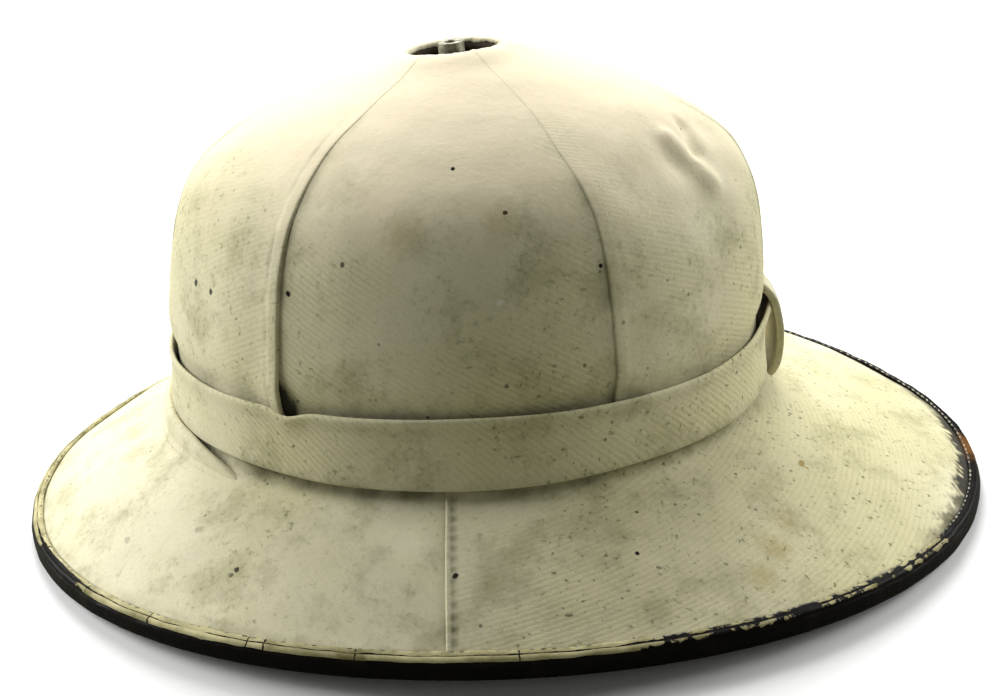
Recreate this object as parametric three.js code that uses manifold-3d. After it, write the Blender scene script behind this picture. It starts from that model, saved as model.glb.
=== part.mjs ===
// A cloth-covered pith helmet, resting on its rim. Millimetres, +Z up, front towards -X.
// Every wall follows one body surface: the vent's edge, the crown, the fillet at its foot, and the brim.
import * as THREE from "three";
import { mergeVertices } from "three/addons/utils/BufferGeometryUtils.js";
import Module from "manifold-3d";

// ---- driving dimensions ----
const AXIS_X = -10.2; // the crown's axis, through the vent, ahead of the middle of the brim
const SIDE_SEAM_X = -16.4; // the brim's side seams, a little ahead of the crown's axis
const SIDE_LIFT = 7.4; // how much higher the brim's edge stands at the sides than at its two ends
const REST_ARC = THREE.MathUtils.degToRad(20); // half the arc that touches the ground at each end

// The body's outer surface, one row for each station from the vent to the edge of the brim. A row gives the
// distance from the crown's axis and the height, at the front, at each side and at the rear.
const STATIONS = [
  { part: "crown", front: [14.0, 157.2], side: [14.0, 158.3], rear: [14.0, 159.5] },
  { part: "crown", front: [20.5, 156.0], side: [20.0, 157.2], rear: [22.5, 157.4] },
  { part: "crown", front: [33.0, 151.8], side: [33.0, 152.6], rear: [37.5, 152.6] },
  { part: "crown", front: [51.0, 145.4], side: [49.0, 145.6], rear: [58.0, 145.0] },
  { part: "crown", front: [68.0, 138.4], side: [63.0, 137.6], rear: [74.5, 137.4] },
  { part: "crown", front: [83.0, 128.4], side: [74.5, 128.4], rear: [88.4, 128.0] },
  { part: "crown", front: [92.3, 117.4], side: [82.2, 118.0], rear: [96.0, 117.6] },
  { part: "crown", front: [98.2, 102.0], side: [87.4, 103.0], rear: [101.2, 102.0] },
  { part: "crown", front: [102.4, 84.0], side: [90.2, 84.0], rear: [103.2, 84.0] },
  { part: "crown", front: [103.9, 73.0], side: [90.9, 73.0], rear: [103.4, 73.0] },
  { part: "crown", front: [102.4, 64.0], side: [89.9, 64.0], rear: [101.4, 64.0] },
  { part: "crown", front: [103.8, 43.0], side: [90.1, 43.0], rear: [103.0, 43.0] },
  { part: "brim", front: [104.4, 38.8], side: [90.7, 40.0], rear: [103.6, 39.2] },
  { part: "brim", front: [106.6, 36.0], side: [92.6, 37.8], rear: [105.8, 36.8] },
  { part: "brim", front: [113.0, 32.8], side: [98.0, 35.2], rear: [112.5, 34.2] },
  { part: "brim", front: [128.0, 25.6], side: [111.2, 29.4], rear: [133.0, 27.2] },
  { part: "brim", front: [144.0, 16.2], side: [125.8, 21.6], rear: [156.5, 17.4] },
  { part: "brim", front: [157.3, 7.0], side: [137.7, 14.4], rear: [177.6, 7.0] },
  { part: "brim", front: [159.3, 5.5], side: [139.7, 12.9], rear: [179.7, 5.5] },
];

// Hollows knocked into the crown: the centre of each, its radius and its depth.
const DENTS = [
  { x: 62.6, y: -44, z: 131, radius: 11, depth: 3.2 },
  { x: 49.6, y: -56, z: 128, radius: 9, depth: 1.6 },
  { x: -65.4, y: -40, z: 128, radius: 20, depth: 1.4 },
];

const CLOTH = 1.0; // thickness of the cotton cover
const PITH = 4.0; // thickness of the moulded shell on the crown
const PITH_AT_RIM = 3.0; // and at the edge of the brim
const LEATHER = 1.2; // thickness of the rim's binding
const GAP = 0.3; // clearance between neighbouring pieces

const GORES = 6;
const COLUMNS = 48; // round the helmet, a whole even number of them to a gore
const BAND_TOP = 63.6; // at the front and the rear
const BAND_TOP_RISE = 2.2; // how much higher its upper edge stands at the sides
const BAND_BOTTOM = 42.2;
const BAND_THICK = 2.4;
const SOCKET = { tall: 11.2, radius: 19.5, foot: 148.6, lean: THREE.MathUtils.degToRad(-4) };

// ---- the body surface ----
const reaches = new THREE.CatmullRomCurve3(
  STATIONS.map((s) => new THREE.Vector3(s.front[0], s.side[0], s.rear[0])), false, "catmullrom", 0.5);
const heights = new THREE.CatmullRomCurve3(
  STATIONS.map((s) => new THREE.Vector3(s.front[1], s.side[1], s.rear[1])), false, "catmullrom", 0.5);
const CROWN_FOOT = STATIONS.findLastIndex((s) => s.part === "crown"); // the last crown station
const LAST = STATIONS.length - 1;

// How far the side's height counts at an angle: nothing over the arcs that rest on the ground, all at the sides.
function sideShare(angle) {
  const floor = Math.sin(REST_ARC) ** 2;
  return Math.max(0, Math.sin(angle) ** 2 - floor) / (1 - floor);
}

// A point of the smooth surface at a station, whole or between two, where the section is an ellipse. The angle is
// counted from the rear, and drawn forward a little at the sides so that a right angle falls on the side seam.
function surfacePoint(angle, station) {
  const reach = reaches.getPoint(station / LAST);
  const height = heights.getPoint(station / LAST);
  const halfLength = (reach.x + reach.z) / 2;
  const middle = AXIS_X + (reach.z - reach.x) / 2;
  const forward = Math.min(0.13, (middle - SIDE_SEAM_X) / halfLength);
  const drawn = angle + forward * Math.sin(angle);
  const end = THREE.MathUtils.lerp(height.x, height.z, (1 + Math.cos(drawn)) / 2);
  return new THREE.Vector3(
    middle + halfLength * Math.cos(drawn),
    reach.y * Math.sin(drawn),
    end + (height.y - (height.x + height.z) / 2) * sideShare(drawn),
  );
}

// The unit tangent down the surface, away from the vent, and the unit normal out of it.
function frameAt(angle, station) {
  const step = 0.02;
  const from = Math.max(0, station - step);
  const to = Math.min(LAST, station + step);
  const down = surfacePoint(angle, to).sub(surfacePoint(angle, from)).normalize();
  const round = surfacePoint(angle + step, station).sub(surfacePoint(angle - step, station)).normalize();
  return { down, normal: down.clone().cross(round).normalize() };
}

function dentDepth(point) {
  let depth = 0;
  for (const dent of DENTS) {
    const apart = Math.hypot(point.x - dent.x, point.y - dent.y, point.z - dent.z);
    depth += dent.depth * Math.exp(-((apart / dent.radius) ** 2));
  }
  return depth;
}

// A point at a distance out of the surface, dents included, and reaching past the brim's edge if asked.
function bodyPoint(angle, station, out, beyond = 0) {
  const point = surfacePoint(angle, station);
  const { down, normal } = frameAt(angle, station);
  return point.addScaledVector(normal, out - dentDepth(point)).addScaledVector(down, beyond);
}

// ---- solids from grids of points ----
function signedVolume(points, faces) {
  let six = 0;
  for (const [a, b, c] of faces) six += points[a].dot(points[b].clone().cross(points[c]));
  return six / 6;
}

function solid(points, faces) {
  const turned = signedVolume(points, faces) < 0 ? faces.map(([a, b, c]) => [a, c, b]) : faces;
  const geometry = new THREE.BufferGeometry();
  geometry.setAttribute("position", new THREE.Float32BufferAttribute(points.flatMap((p) => p.toArray()), 3));
  geometry.setIndex(turned.flat());
  geometry.computeVertexNormals();
  return geometry;
}

// Sweeps a closed loop of points, loopAt(angle), through the given angles. A full turn joins its ends, and a part
// of a turn is capped by joining the loop's first half to its second half, as in a wall's two faces.
function sweep(angles, loopAt, fullTurn) {
  const loops = angles.map(loopAt);
  const size = loops[0].length;
  const points = loops.flat();
  const faces = [];
  const quad = (a, b, c, d) => faces.push([a, b, c], [a, c, d]);
  const rings = fullTurn ? loops.length : loops.length - 1;
  for (let i = 0; i < rings; i++) {
    const here = i * size;
    const next = ((i + 1) % loops.length) * size;
    for (let j = 0; j < size; j++) {
      const k = (j + 1) % size;
      // Both faces of a wall are split along the same diagonals, so that neighbouring walls stay parallel.
      if (j < size / 2) quad(here + j, here + k, next + k, next + j);
      else quad(here + k, next + k, next + j, here + j);
    }
  }
  if (!fullTurn) {
    const lastLoop = (loops.length - 1) * size;
    for (let j = 0; j < size / 2 - 1; j++) {
      quad(j, size - 1 - j, size - 2 - j, j + 1);
      quad(lastLoop + j, lastLoop + j + 1, lastLoop + size - 2 - j, lastLoop + size - 1 - j);
    }
  }
  return solid(points, faces);
}

function spaced(from, to, steps) {
  return Array.from({ length: steps + 1 }, (_, i) => from + ((to - from) * i) / steps);
}

const columnAngles = (from, to, steps) => spaced(from, to, steps).map(THREE.MathUtils.degToRad);
const allRound = columnAngles(0, 360 - 360 / COLUMNS, COLUMNS - 1);

// ---- the pieces ----
const pithThick = (station) =>
  THREE.MathUtils.lerp(PITH, PITH_AT_RIM, THREE.MathUtils.smoothstep(station, CROWN_FOOT, LAST));
const underPith = (station) => -(CLOTH + GAP + pithThick(station));

// Moulded pith, crown and brim in one. Its inside is plainer, with every second station of the crown left out.
function pithShell() {
  const stations = spaced(0, LAST, LAST);
  const inside = stations.filter((s) => s > CROWN_FOOT - 2 || s % 2 === 0).toReversed();
  return sweep(allRound, (angle) => [
    ...stations.map((s) => bodyPoint(angle, s, -(CLOTH + GAP))),
    ...inside.map((s) => bodyPoint(angle, s, underPith(s))),
  ], true);
}

// A panel of cloth between two angles, with half a gap left for the seam along each side of it.
function panel(fromDegrees, toDegrees, steps, stations) {
  const angles = columnAngles(fromDegrees, toDegrees, steps);
  return sweep(angles, (angle) => {
    const side = angle === angles[0] ? 1 : angle === angles.at(-1) ? -1 : 0;
    const shift = new THREE.Vector3(-Math.sin(angle), Math.cos(angle), 0).multiplyScalar((side * GAP) / 2);
    return [
      ...stations.map((s) => bodyPoint(angle, s, 0).add(shift)),
      ...stations.toReversed().map((s) => bodyPoint(angle, s, -CLOTH).add(shift)),
    ];
  }, false);
}

// One of the six cloth panels of the crown, from the vent down to behind the hatband.
function gore(index) {
  const width = 360 / GORES;
  return panel(index * width, (index + 1) * width, COLUMNS / GORES, spaced(0, CROWN_FOOT, CROWN_FOOT));
}

// One of the two cloth covers of the brim, which meet in a seam at each side of the head.
function brimCover(fromDegrees) {
  const stations = spaced(CROWN_FOOT + 1, LAST, LAST - CROWN_FOOT - 1);
  return panel(fromDegrees, fromDegrees + 180, COLUMNS / 2, [CROWN_FOOT + 0.2, ...stations]);
}

// A point beside the crown's foot at a height, a distance out from the line of its wall.
function besideCrown(angle, height, out) {
  const upper = bodyPoint(angle, CROWN_FOOT - 1, 0);
  const lower = bodyPoint(angle, CROWN_FOOT, 0);
  const share = (height - upper.z) / (lower.z - upper.z);
  const normal = frameAt(angle, CROWN_FOOT - 0.5).normal.setZ(0).normalize();
  return upper.lerp(lower, share).setZ(height).addScaledVector(normal, out);
}

// The folded hatband round the foot of the crown, with its edges rolled over. Its upper edge rises at the sides.
function hatband() {
  return sweep(allRound, (angle) => {
    const top = BAND_TOP + BAND_TOP_RISE * Math.sin(angle) ** 4;
    return [
      [0.4, top - 0.6], [1.2, top], [BAND_THICK, top - 0.8], [BAND_THICK - 0.2, top - 12],
      [BAND_THICK, BAND_BOTTOM + 0.8], [1.4, BAND_BOTTOM], [0.4, BAND_BOTTOM + 0.5], [0.4, top - 12],
    ].map(([out, z]) => besideCrown(angle, z, out));
  }, true);
}

// The roll of the brim's cloth that stands up outside the hatband at the front, highest in the middle.
function frontCollar() {
  const halfArc = 50;
  const rise = 4.4;
  const angles = columnAngles(180 - halfArc, 180 + halfArc, 12);
  return sweep(angles, (angle) => {
    const share = Math.cos(((angle - Math.PI) / THREE.MathUtils.degToRad(halfArc)) * (Math.PI / 2));
    const outerFoot = bodyPoint(angle, CROWN_FOOT + 2.6, GAP);
    const innerFoot = bodyPoint(angle, CROWN_FOOT + 2.1, GAP);
    const top = outerFoot.z + 2.0 + rise * share;
    return [
      outerFoot,
      besideCrown(angle, top - 1.2, BAND_THICK + 3.4),
      besideCrown(angle, top, BAND_THICK + 2.4),
      besideCrown(angle, top - 0.5, BAND_THICK + 1.4),
      besideCrown(angle, innerFoot.z + 0.6, BAND_THICK + 1.3),
      innerFoot,
    ];
  }, false);
}

// The loop of cloth that holds the hatband at the rear, bulging over it.
function rearKeeper() {
  const halfWidth = 10;
  const halfArc = THREE.MathUtils.radToDeg(Math.asin(halfWidth / STATIONS[CROWN_FOOT].side[0]));
  const section = [
    [3.3, 73.8], [5.4, 72.6], [7.6, 69.6], [9.2, 64.5], [9.6, 57], [8.9, 49], [7.0, 42.0], [4.6, 38.4],
    [3.4, 39.2], [5.7, 42.5], [7.6, 49.2], [8.3, 57], [7.9, 64.1], [6.6, 68.6], [4.6, 71.2], [3.3, 72.2],
  ];
  return sweep(columnAngles(-halfArc, halfArc, 4),
    (angle) => section.map(([out, z]) => besideCrown(angle, z, out)), false);
}

// The leather strip folded over the edge of the brim, thick at its rolled edge and flat where it meets the ground.
function rimBinding() {
  const flange = LAST - 1;
  return sweep(allRound, (angle) => {
    const edge = bodyPoint(angle, LAST, 0);
    const outward = frameAt(angle, LAST).down.setZ(0).normalize();
    const ground = SIDE_LIFT * sideShare(angle);
    const beside = (out, z) => edge.clone().addScaledVector(outward, out).setZ(z);
    return [
      bodyPoint(angle, flange, GAP),
      bodyPoint(angle, LAST, GAP, GAP),
      bodyPoint(angle, LAST, underPith(LAST) - GAP, GAP),
      bodyPoint(angle, flange, underPith(flange) - GAP),
      bodyPoint(angle, flange, underPith(flange) - GAP - LEATHER),
      beside(-4.6, ground),
      beside(0.6, ground),
      beside(1.5, ground + 0.9),
      beside(1.8, ground + 3.2),
      beside(1.5, edge.z + 0.4),
      beside(0.2, edge.z + 1.9),
      bodyPoint(angle, flange + 0.1, GAP + LEATHER),
    ];
  }, true);
}

// ---- solids that are joined and cut ----
const wasm = await Module();
wasm.setup();

function manifoldOf(geometry) {
  const bare = geometry.clone();
  bare.deleteAttribute("normal");
  bare.deleteAttribute("uv");
  const merged = mergeVertices(bare);
  return new wasm.Manifold(new wasm.Mesh({
    numProp: 3,
    vertProperties: new Float32Array(merged.attributes.position.array),
    triVerts: new Uint32Array(merged.index.array),
  }));
}

function geometryOf(manifold) {
  const mesh = manifold.getMesh();
  const geometry = new THREE.BufferGeometry();
  geometry.setAttribute("position", new THREE.BufferAttribute(new Float32Array(mesh.vertProperties), 3));
  geometry.setIndex(new THREE.BufferAttribute(new Uint32Array(mesh.triVerts), 1));
  geometry.computeVertexNormals();
  return geometry;
}

// The metal socket in the vent: a ring under the pith, three arms and a hollow boss for the ventilator's screw.
function ventSocket() {
  const plate = 1.4;
  const upright = (shape) => shape.rotateX(Math.PI / 2);
  const boss = upright(new THREE.CylinderGeometry(4.4, 4.4, SOCKET.tall, 16)).translate(0, 0, SOCKET.tall / 2);
  const bore = upright(new THREE.CylinderGeometry(2.1, 2.1, SOCKET.tall, 16)).translate(0, 0, SOCKET.tall / 2 + 3);
  const disc = upright(new THREE.CylinderGeometry(SOCKET.radius, SOCKET.radius, plate, 24)).translate(0, 0, plate / 2);
  const hole = upright(new THREE.CylinderGeometry(SOCKET.radius - 4, SOCKET.radius - 4, 3 * plate, 24));
  let made = manifoldOf(disc).subtract(manifoldOf(hole)).add(manifoldOf(boss));
  for (let i = 0; i < 3; i++) {
    const arm = new THREE.BoxGeometry(SOCKET.radius - 4, 5, plate).translate(SOCKET.radius / 2, 0, plate / 2);
    made = made.add(manifoldOf(arm.rotateZ(THREE.MathUtils.degToRad(60 + 120 * i))));
  }
  return geometryOf(made.subtract(manifoldOf(bore)));
}

// ---- materials ----
const finish = (color, roughness, metalness = 0) => new THREE.MeshStandardMaterial({ color, roughness, metalness });
const drill = finish(0xd9d3b8, 0.9);
const folded = finish(0xd2ccae, 0.9);
const pith = finish(0x9a7a52, 0.95);
const leather = finish(0x1c1712, 0.45);
const zinc = finish(0x8a8878, 0.5, 0.8);

// ---- the helmet ----
const helmet = new THREE.Group();
function add(name, geometry, material) {
  const mesh = new THREE.Mesh(geometry, material);
  mesh.name = name;
  helmet.add(mesh);
  return mesh;
}

add("pith_shell", pithShell(), pith);
const GORE_NAMES = ["rear_right", "side_right", "front_right", "front_left", "side_left", "rear_left"];
GORE_NAMES.forEach((place, index) => add("gore_" + place, gore(index), drill));
add("brim_cover_rear", brimCover(-90), drill);
add("brim_cover_front", brimCover(90), drill);
add("front_collar", frontCollar(), folded);
add("hatband", hatband(), folded);
add("rear_keeper", rearKeeper(), folded);
add("rim_binding", rimBinding(), leather);
const socket = add("vent_socket", ventSocket(), zinc);
socket.position.set(AXIS_X, 0, SOCKET.foot);
socket.rotation.y = SOCKET.lean;

export default helmet;
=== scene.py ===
"""A cloth-covered pith helmet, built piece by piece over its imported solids."""

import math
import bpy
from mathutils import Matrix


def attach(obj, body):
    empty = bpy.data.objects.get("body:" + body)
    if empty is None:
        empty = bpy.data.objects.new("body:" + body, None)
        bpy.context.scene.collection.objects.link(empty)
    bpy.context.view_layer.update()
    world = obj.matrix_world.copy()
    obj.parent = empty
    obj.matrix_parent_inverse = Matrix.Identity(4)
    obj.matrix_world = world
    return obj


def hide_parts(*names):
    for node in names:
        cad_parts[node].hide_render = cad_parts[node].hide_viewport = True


bl_info = {
    "name": "Pith helmet",
    "version": (1, 0, 0),
    "blender": (4, 5, 0),
    "location": "View3D > Sidebar > Helmet",
    "description": "Lays the cloth, leather and stitching of an old pith helmet over its solids",
    "category": "Object",
}

import bpy
import numpy as np
from mathutils import Matrix, Vector

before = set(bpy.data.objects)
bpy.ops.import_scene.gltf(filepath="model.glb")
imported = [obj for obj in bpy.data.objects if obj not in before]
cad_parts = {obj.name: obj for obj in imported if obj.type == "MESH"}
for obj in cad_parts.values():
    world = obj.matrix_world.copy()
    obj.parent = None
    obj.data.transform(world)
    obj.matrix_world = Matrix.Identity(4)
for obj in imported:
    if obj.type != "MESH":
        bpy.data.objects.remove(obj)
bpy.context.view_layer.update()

MM = 0.001

# The body's outer surface in millimetres, one row for each station from the vent to the edge of the brim. The
# columns are the reach from the crown's axis at the front, side and rear, then the height at each of them.
STATIONS = np.array([
    # front  side   rear   front_z side_z rear_z
    (14.0, 14.0, 14.0, 157.2, 158.3, 159.5),
    (20.5, 20.0, 22.5, 156.0, 157.2, 157.4),
    (33.0, 33.0, 37.5, 151.8, 152.6, 152.6),
    (51.0, 49.0, 58.0, 145.4, 145.6, 145.0),
    (68.0, 63.0, 74.5, 138.4, 137.6, 137.4),
    (83.0, 74.5, 88.4, 128.4, 128.4, 128.0),
    (92.3, 82.2, 96.0, 117.4, 118.0, 117.6),
    (98.2, 87.4, 101.2, 102.0, 103.0, 102.0),
    (102.4, 90.2, 103.2, 84.0, 84.0, 84.0),
    (103.9, 90.9, 103.4, 73.0, 73.0, 73.0),
    (102.4, 89.9, 101.4, 64.0, 64.0, 64.0),
    (103.8, 90.1, 103.0, 43.0, 43.0, 43.0),
    (104.4, 90.7, 103.6, 38.8, 40.0, 39.2),
    (106.6, 92.6, 105.8, 36.0, 37.8, 36.8),
    (113.0, 98.0, 112.5, 32.8, 35.2, 34.2),
    (128.0, 111.2, 133.0, 25.6, 29.4, 27.2),
    (144.0, 125.8, 156.5, 16.2, 21.6, 17.4),
    (157.3, 137.7, 177.6, 7.0, 14.4, 7.0),
    (159.3, 139.7, 179.7, 5.5, 12.9, 5.5),
])
FOOT = 11  # the crown's last station
EDGE = 18  # the brim's edge
AXIS_X = -10.2  # the crown's axis
CROWN_RADIUS = 90.0  # its radius across, at its foot
SIDE_SEAM_X = -16.4  # the brim's side seams
SIDE_LIFT = 7.4  # how much higher the brim's edge stands at the sides
REST_ARC = math.radians(20)  # half the arc that touches the ground at each end

# Knocks and creases in the covered body, in millimetres: the two ends of each, its radius and its depth, which
# is less than nothing where the cloth stands out as a ridge.
KNOCKS = (
    ((62.6, -44.0, 131.0), (62.6, -44.0, 131.0), 11.0, 3.4),
    ((49.6, -56.0, 128.0), (43.0, -61.0, 127.0), 8.0, 1.3),
    ((62.8, -24.0, 135.0), (66.0, -34.5, 128.4), 2.8, 2.0),
    ((57.0, -37.0, 134.0), (70.0, -41.0, 119.5), 4.2, -2.2),
    ((52.0, -58.0, 118.0), (72.0, -47.0, 113.0), 9.0, 1.8),
    ((70.0, -20.0, 131.0), (76.0, -30.0, 121.0), 9.0, 1.2),
    ((-65.4, -40.0, 128.0), (-60.0, -50.0, 122.0), 18.0, 1.5),
    ((-20.0, -84.0, 96.0), (20.0, -84.0, 96.0), 20.0, 0.8),
    ((-95.0, -50.0, 84.0), (-95.0, -46.0, 100.0), 14.0, 0.7),
    ((-120.0, -85.0, 20.0), (-90.0, -105.0, 20.0), 16.0, 0.8),
    ((95.0, -80.0, 25.0), (120.0, -60.0, 20.0), 18.0, 1.0),
    ((110.0, -10.0, 30.0), (120.0, 20.0, 28.0), 14.0, 0.9),
)

# Stains and specks on the cloth: place, radius, strength, and the property that holds the colour.
MARKS = (
    ((4.7, -76.6, 124.4), 0.9, 1.0, "speck_and_shadow"),
    ((-10.1, -65.8, 135.2), 0.8, 1.0, "speck_and_shadow"),
    ((32.2, -78.0, 107.2), 0.8, 1.0, "speck_and_shadow"),
    ((-43.5, -78.6, 111.3), 0.9, 0.8, "speck_and_shadow"),
    ((-61.2, -74.4, 101.4), 1.0, 1.0, "speck_and_shadow"),
    ((-95.1, -45.7, 95.6), 1.3, 0.9, "speck_and_shadow"),
    ((-88.9, -53.8, 95.4), 1.2, 0.9, "speck_and_shadow"),
    ((-14.6, -116.3, 26.4), 1.5, 1.0, "speck_and_shadow"),
    ((39.5, -108.0, 27.2), 0.9, 1.0, "speck_and_shadow"),
    ((40.9, -93.5, 32.8), 0.7, 0.8, "speck_and_shadow"),
    ((-81.2, -101.2, 22.9), 1.1, 0.9, "speck_and_shadow"),
    ((-83.0, -102.6, 22.0), 0.8, 0.7, "speck_and_shadow"),
    ((-146.9, -21.4, 18.6), 1.3, 0.35, "grime_and_shade"),
    ((-121.5, -73.8, 19.1), 1.5, 0.3, "grime_and_shade"),
    ((-95.7, -82.7, 26.7), 1.4, 0.3, "grime_and_shade"),
    ((2.1, -87.1, 100.5), 1.2, 0.9, "chalk"),
    ((98.0, -59.6, 29.1), 1.6, 0.9, "ochre"),
    ((99.6, -61.0, 28.4), 1.0, 0.8, "ochre"),
    ((76.5, -109.6, 18.8), 7.0, 0.45, "ochre"),
    ((82.5, -99.0, 21.8), 7.5, 0.5, "ochre"),
    ((88.0, -87.6, 24.4), 6.0, 0.35, "ochre"),
    ((-25.5, -79.1, 119.9), 9.0, 0.3, "ochre"),
    ((3.7, -78.8, 121.5), 8.0, 0.25, "ochre"),
)


# Splits across the binding's bead: the place along its strip, counted from the rear, and half the width.
CRACKS = ((549.0, 0.35), (617.0, 0.3), (654.0, 0.3), (659.5, 0.3), (688.0, 0.2), (585.0, 0.2), (735.0, 0.2))
RUBBED_PLACE = (0.1684, -0.012, 0.0085)  # where the binding is worn to its flesh, in metres


def catmull(values, station):
    """The rows of a table, carried smoothly between whole stations."""
    station = np.clip(station, 0, len(values) - 1)
    first = np.minimum(station.astype(int), len(values) - 2)
    t = (station - first)[..., None]
    rows = np.vstack([2 * values[0] - values[1], values, 2 * values[-1] - values[-2]])
    a, b, c, d = (rows[first + k] for k in range(4))
    return 0.5 * (2 * b + (c - a) * t + (2 * a - 5 * b + 4 * c - d) * t**2 + (3 * b - a - 3 * c + d) * t**3)


def surface(angle, station):
    """Points of the body's smooth surface, in millimetres. The angle is counted from the rear."""
    angle, station = np.broadcast_arrays(np.asarray(angle, float), np.asarray(station, float))
    ease = 0.4 * np.clip(9.3 - station, 0, 1)
    above, here, below = (catmull(STATIONS, station + shift) for shift in (-ease, 0, ease))
    row = (above + 2 * here + below) / 4
    front, side, rear, front_z, side_z, rear_z = np.moveaxis(row, -1, 0)
    half = (front + rear) / 2
    middle = AXIS_X + (rear - front) / 2
    drawn = angle + np.minimum(0.13, (middle - SIDE_SEAM_X) / half) * np.sin(angle)
    floor = math.sin(REST_ARC) ** 2
    share = np.maximum(0, np.sin(drawn) ** 2 - floor) / (1 - floor)
    end = front_z + (rear_z - front_z) * (1 + np.cos(drawn)) / 2
    z = end + (side_z - (front_z + rear_z) / 2) * share
    return np.stack([middle + half * np.cos(drawn), side * np.sin(drawn), z], -1)


def unit(vectors):
    return vectors / np.linalg.norm(vectors, axis=-1, keepdims=True)


def directions(angle, station):
    """The unit tangent away from the vent, the unit normal, and the length of one radian round."""
    step = 0.02
    down = surface(angle, np.minimum(station + step, EDGE)) - surface(angle, np.maximum(station - step, 0))
    around = (surface(angle + step, station) - surface(angle - step, station)) / (2 * step)
    return unit(down), unit(np.cross(down, around)), np.linalg.norm(around, axis=-1)


def bump(distance, radius):
    return np.exp(-((distance / radius) ** 2))


def to_segment(points, start, end):
    start, end = np.array(start), np.array(end)
    line = end - start
    share = np.clip((points - start) @ line / max(line @ line, 1e-9), 0, 1)
    return np.linalg.norm(points - start - share[..., None] * line, axis=-1)


def ripple(points, seed, shortest, longest, height, count=9):
    """A sum of small waves in all directions, the same on every run."""
    rng = np.random.default_rng(seed)
    total = np.zeros(points.shape[:-1])
    for _ in range(count):
        heading = unit(rng.normal(size=3))
        wave = rng.uniform(shortest, longest)
        total += np.sin(points @ heading * 2 * math.pi / wave + rng.uniform(0, 2 * math.pi))
    return height * total / math.sqrt(count)


def relief(points):
    """How far the cloth stands off the smooth body: knocks, slack and small lumps."""
    height = ripple(points, 3, 45, 110, 0.28) + ripple(points, 5, 13, 28, 0.07)
    for start, end, radius, depth in KNOCKS:
        height -= depth * bump(to_segment(points, start, end), radius)
    return height


def laid(angle, station, out):
    """Points a distance out of the body, with its knocks."""
    points = surface(angle, station)
    _, normal, _ = directions(angle, station)
    return points + normal * (out + relief(points))[..., None]


def beside_crown(angle, height, out):
    """Points beside the crown's foot at a height, a distance out from the line of its wall."""
    upper, lower = surface(angle, FOOT - 1), surface(angle, FOOT)
    share = (height - upper[..., 2]) / (lower[..., 2] - upper[..., 2])
    points = upper + (lower - upper) * share[..., None]
    points[..., 2] = height
    _, normal, _ = directions(angle, FOOT - 0.5)
    normal[..., 2] = 0
    return points + unit(normal) * np.broadcast_to(out, angle.shape)[..., None]


def lengths(points):
    """How far along its line each point lies, down the rows."""
    steps = np.linalg.norm(np.diff(points, axis=0), axis=-1)
    return np.concatenate([np.zeros_like(steps[:1]), np.cumsum(steps, axis=0)])


def even_stations(angle, start, end, count):
    """Stations that divide one line down the body into equal lengths."""
    fine = np.linspace(start, end, 600)
    length = lengths(surface(angle, fine))
    return np.interp(np.linspace(0, length[-1], count), length, fine)


# ---- objects ----
def deselect():
    if bpy.context.object and bpy.context.object.mode != "OBJECT":
        bpy.ops.object.mode_set(mode="OBJECT")
    bpy.ops.object.select_all(action="DESELECT")


def activate(piece):
    deselect()
    piece.select_set(True)
    bpy.context.view_layer.objects.active = piece


def edit(piece, action):
    """Runs one action in edit mode with all of a piece selected."""
    activate(piece)
    bpy.ops.object.mode_set(mode="EDIT")
    bpy.ops.mesh.select_all(action="SELECT")
    action()
    bpy.ops.object.mode_set(mode="OBJECT")


def modify(piece, kind, **settings):
    """Adds a modifier with its settings and applies it."""
    activate(piece)
    modifier = piece.modifiers.new(kind.title(), kind)
    for key, value in settings.items():
        setattr(modifier, key, value)
    bpy.ops.object.modifier_apply(modifier=modifier.name)


def cloth_grid(name, points, weave, **attributes):
    """Lays a flat grid over rows of points in millimetres, with a map of the cloth in millimetres and a value
    at each point for every named attribute."""
    rows, columns = points.shape[:2]
    deselect()
    bpy.ops.mesh.primitive_grid_add(x_subdivisions=columns - 1, y_subdivisions=rows - 1, size=1)
    piece = bpy.context.object
    piece.name = piece.data.name = name
    mesh = piece.data
    if len(mesh.vertices) != rows * columns:
        raise RuntimeError(f"{name}: the grid has {len(mesh.vertices)} points, not {rows * columns}")
    mesh.vertices.foreach_set("co", (points.reshape(-1, 3) * MM).ravel())
    loops = np.empty(len(mesh.loops), int)
    mesh.loops.foreach_get("vertex_index", loops)
    mesh.uv_layers[0].name = "Cloth"
    mesh.uv_layers[0].data.foreach_set("uv", weave.reshape(-1, 2)[loops].ravel())
    for key, values in attributes.items():
        layer = mesh.attributes.new(key, "FLOAT", "POINT")
        layer.data.foreach_set("value", np.broadcast_to(values, (rows, columns)).ravel().astype(np.float32))
    mesh.update()
    return piece


def close_ring(piece):
    """Joins a grid's first edge to its last where they meet."""
    edit(piece, lambda: bpy.ops.mesh.remove_doubles(threshold=0.00001))


def finish_piece(piece, material, slot, *nodes):
    piece.data.materials.clear()
    piece.data.materials.append(material)
    activate(piece)
    bpy.ops.object.shade_smooth()
    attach(piece, "root")
    if nodes:
        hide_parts(*nodes)
    deselect()


def map_of(points, turn, start=(0.0, 0.0)):
    """A flat map of rows of points: across from the middle column, and down from the first row, turned by the
    angle at which the piece was cut from the cloth."""
    middle = points.shape[1] // 2
    across = lengths(points.swapaxes(0, 1)).T
    across = across - across[:, middle:middle + 1]
    down = lengths(points)[:, middle:middle + 1]
    c, s = math.cos(turn), math.sin(turn)
    return np.stack([start[0] + across * c - down * s, start[1] + across * s + down * c], -1)


# ---- materials ----
def linear(hex_colour):
    """A colour in linear light from its sRGB hex value."""
    channels = [int(hex_colour[i:i + 2], 16) / 255 for i in (1, 3, 5)]
    return tuple(c / 12.92 if c <= 0.04045 else ((c + 0.055) / 1.055) ** 2.4 for c in channels) + (1.0,)


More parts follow.
